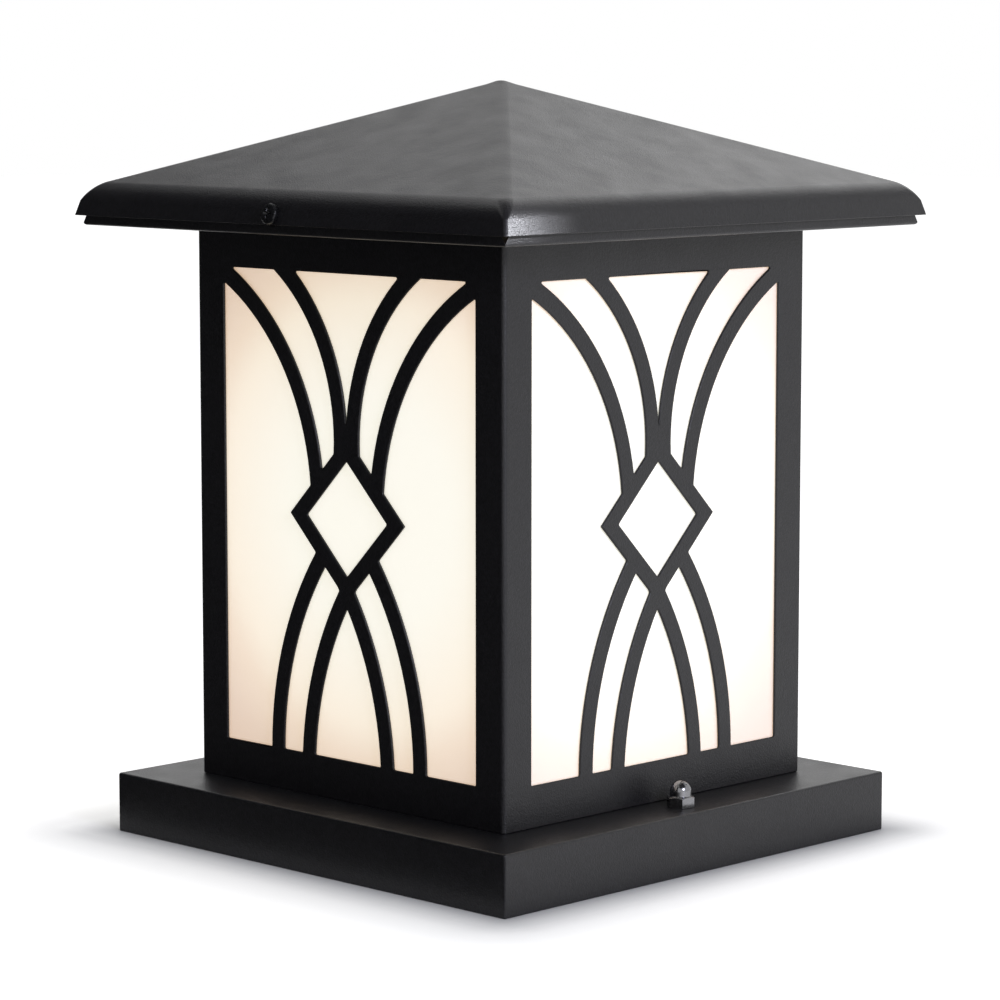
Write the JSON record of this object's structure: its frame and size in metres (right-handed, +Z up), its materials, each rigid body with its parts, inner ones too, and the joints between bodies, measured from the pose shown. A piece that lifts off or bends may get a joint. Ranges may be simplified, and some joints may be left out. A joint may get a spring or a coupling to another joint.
{
  "type": "deck post cap light",
  "caption": "Square black sheet-metal post lantern with cut-out faces over opal panes, pyramid roof, folded base, inner lampholder and lamp.",
  "frame": {"origin": "centre of the base's underside, on the post's top", "axes": "+Z up; -Y the front, one of the sides with a roof screw; +X the side with the right cap nut"},
  "size_m": [0.2398, 0.2438, 0.3016],
  "materials": {
    "powder_coat": "satin black powder coat, fine texture",
    "zinc_steel": "zinc plated",
    "black_nickel": "polished black nickel",
    "black_screw": "black zinc",
    "opal_pane": "opal, smooth",
    "porcelain": "glazed",
    "nickel_shell": "nickel plated",
    "brass_contact": "bare",
    "lamp_white": "moulded",
    "lamp_opal": "opal, satin",
    "cap_black": "fused glass",
    "board_white": "solder mask",
    "board_green": "solder mask",
    "emitter": "phosphor",
    "block_ivory": "moulded",
    "lead_black": "insulation",
    "lead_white": "insulation",
    "lead_green": "insulation",
    "bush_rubber": "moulded"
  },
  "bodies": {
    "bracket": {"mounting_bracket": "zinc_steel", "mounting_studs": "zinc_steel", "stud_lock_nuts": "zinc_steel"},
    "lantern": {"base_cover": "powder_coat", "shell_front_half": "powder_coat", "shell_back_half": "powder_coat", "shell_foot_screws": "zinc_steel", "shell_foot_nuts": "zinc_steel", "roof_tray": "powder_coat", "tray_screws": "zinc_steel", "tray_nuts": "zinc_steel", "lampholder_strap": "zinc_steel", "strap_screws": "zinc_steel", "strap_nuts": "zinc_steel", "lampholder_body": "porcelain", "lampholder_screw_shell": "nickel_shell", "lampholder_contact": "brass_contact", "lampholder_screws": "zinc_steel", "lampholder_nuts": "zinc_steel", "terminal_block": "block_ivory", "terminal_clamp_screws": "zinc_steel", "terminal_block_screw": "zinc_steel", "lead_live": "lead_black", "lead_neutral": "lead_white", "lead_bushes": "bush_rubber", "lead_earth": "lead_green", "earth_ring_terminal": "brass_contact", "earth_screw": "zinc_steel", "earth_nut": "zinc_steel", "pane_front": "opal_pane", "pane_right": "opal_pane", "pane_back": "opal_pane", "pane_left": "opal_pane", "corner_retainer_front_right": "zinc_steel", "corner_retainer_back_right": "zinc_steel", "corner_retainer_back_left": "zinc_steel", "corner_retainer_front_left": "zinc_steel"},
    "cap_nut_right": {"cap_nut_right": "black_nickel"},
    "cap_nut_left": {"cap_nut_left": "black_nickel"},
    "roof": {"roof_cap": "powder_coat"},
    "roof_screw_front": {"roof_screw_front": "black_screw"},
    "roof_screw_back": {"roof_screw_back": "black_screw"},
    "lamp": {"lamp_tip": "brass_contact", "lamp_insulator": "cap_black", "lamp_screw_cap": "nickel_shell", "lamp_housing": "lamp_white", "lamp_board": "board_white", "lamp_emitters": "emitter", "lamp_driver": "board_green", "lamp_globe": "lamp_opal"}
  },
  "joints": [
    {"name": "lantern_lift", "type": "slide", "parent": "bracket", "child": "lantern", "axis": [0, 0, 1], "range_m": [0, 0.045]},
    {"name": "cap_nut_right_off", "type": "slide", "parent": "lantern", "child": "cap_nut_right", "axis": [0, 0, 1], "range_m": [0, 0.016]},
    {"name": "cap_nut_left_off", "type": "slide", "parent": "lantern", "child": "cap_nut_left", "axis": [0, 0, 1], "range_m": [0, 0.016]},
    {"name": "roof_lift", "type": "slide", "parent": "lantern", "child": "roof", "axis": [0, 0, 1], "range_m": [0, 0.08]},
    {"name": "roof_screw_front_out", "type": "slide", "parent": "roof", "child": "roof_screw_front", "axis": [0, -0.9659, 0.2588], "range_m": [0, 0.013]},
    {"name": "roof_screw_back_out", "type": "slide", "parent": "roof", "child": "roof_screw_back", "axis": [0, 0.9659, 0.2588], "range_m": [0, 0.013]},
    {"name": "lamp_out", "type": "slide", "parent": "lantern", "child": "lamp", "axis": [0, 0, 1], "range_m": [0, 0.06]}
  ]
}
